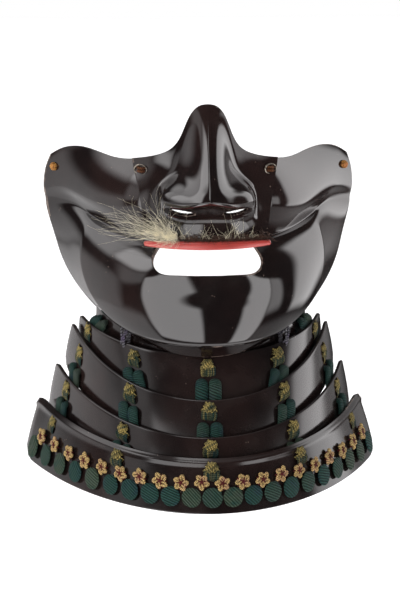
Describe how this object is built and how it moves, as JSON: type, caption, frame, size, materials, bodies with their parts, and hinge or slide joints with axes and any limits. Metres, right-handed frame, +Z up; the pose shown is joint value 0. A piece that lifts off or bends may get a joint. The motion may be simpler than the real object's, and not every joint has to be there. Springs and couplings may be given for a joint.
{
  "type": "samurai face guard",
  "caption": "Lacquered samurai face guard with nose, open mouth and moustache, and a laced throat guard of curved lames hanging below the chin.",
  "frame": {"origin": "on the symmetry plane at the height of the mouth slot, in the plane of the cheeks' rear edges, where the guard sits against the wearer's face", "axes": "+X to the right as seen from the front, +Y back towards the wearer, +Z up; the nose points to -Y"},
  "size_m": [0.201, 0.1309, 0.2184],
  "materials": {
    "lacquer": "glossy black-brown urushi lacquer over iron, lightly worn",
    "red_lacquer": "red lacquer, semi-gloss",
    "green_cord": "dark green flat silk braid, worn to olive on its knots",
    "gold_cord": "faded gold and dark red silk cord",
    "orange_cord": "faded orange silk cord",
    "brown_cord": "brown silk cord",
    "grey_cord": "grey-blue twisted cord",
    "hair": "cream animal hair",
    "dark_hair": "short dark animal hair"
  },
  "bodies": {
    "root": {"face_plate": "lacquer", "nose_piece": "lacquer", "red_lip": "red_lacquer", "moustache_tuft": "hair", "moustache_stubble": "dark_hair", "cheek_knot_left": "orange_cord", "nose_tie_left": "brown_cord", "jaw_tie_left": "grey_cord", "cheek_knot_right": "orange_cord", "nose_tie_right": "brown_cord", "jaw_tie_right": "grey_cord", "neck_plate": "lacquer", "lame_1": "lacquer", "lame_2": "lacquer", "lame_3": "lacquer", "lame_4": "lacquer", "lace_1_far_left": "green_cord", "lace_1_left": "green_cord", "lace_1_centre": "green_cord", "lace_1_right": "green_cord", "lace_1_far_right": "green_cord", "lace_2_far_left": "green_cord", "lace_2_left": "green_cord", "lace_2_centre": "green_cord", "lace_2_right": "green_cord", "lace_2_far_right": "green_cord", "lace_3_far_left": "green_cord", "lace_3_left": "green_cord", "lace_3_centre": "green_cord", "lace_3_right": "green_cord", "lace_3_far_right": "green_cord", "lace_4_far_left": "green_cord", "lace_4_left": "green_cord", "lace_4_centre": "green_cord", "lace_4_right": "green_cord", "lace_4_far_right": "green_cord", "hem_green_braid": "green_cord", "hem_gold_knots": "gold_cord"}
  },
  "joints": []
}
